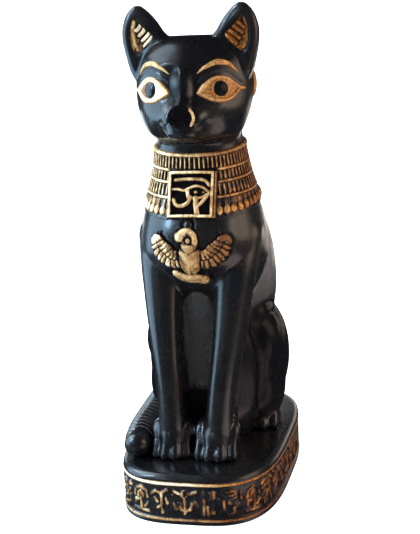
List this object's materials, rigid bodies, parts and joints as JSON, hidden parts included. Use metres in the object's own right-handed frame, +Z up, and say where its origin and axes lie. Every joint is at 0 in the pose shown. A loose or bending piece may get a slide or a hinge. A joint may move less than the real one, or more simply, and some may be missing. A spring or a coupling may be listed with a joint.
{
  "type": "bastet cat figure",
  "caption": "Seated Egyptian cat figure with broad collar, winged scarab pendant, ear-rings and nose ring, cast in one with its plinth, gloss black and gold.",
  "frame": {"origin": "middle of the plinth's underside", "axes": "+Z up, the cat looks along -Y, +X is the cat's left"},
  "size_m": [0.05, 0.084, 0.1499],
  "materials": {
    "painted_resin": "gloss black paint, raised ornament hand-brushed with gold"
  },
  "bodies": {
    "root": {"bastet_cat": "painted_resin"}
  },
  "joints": []
}
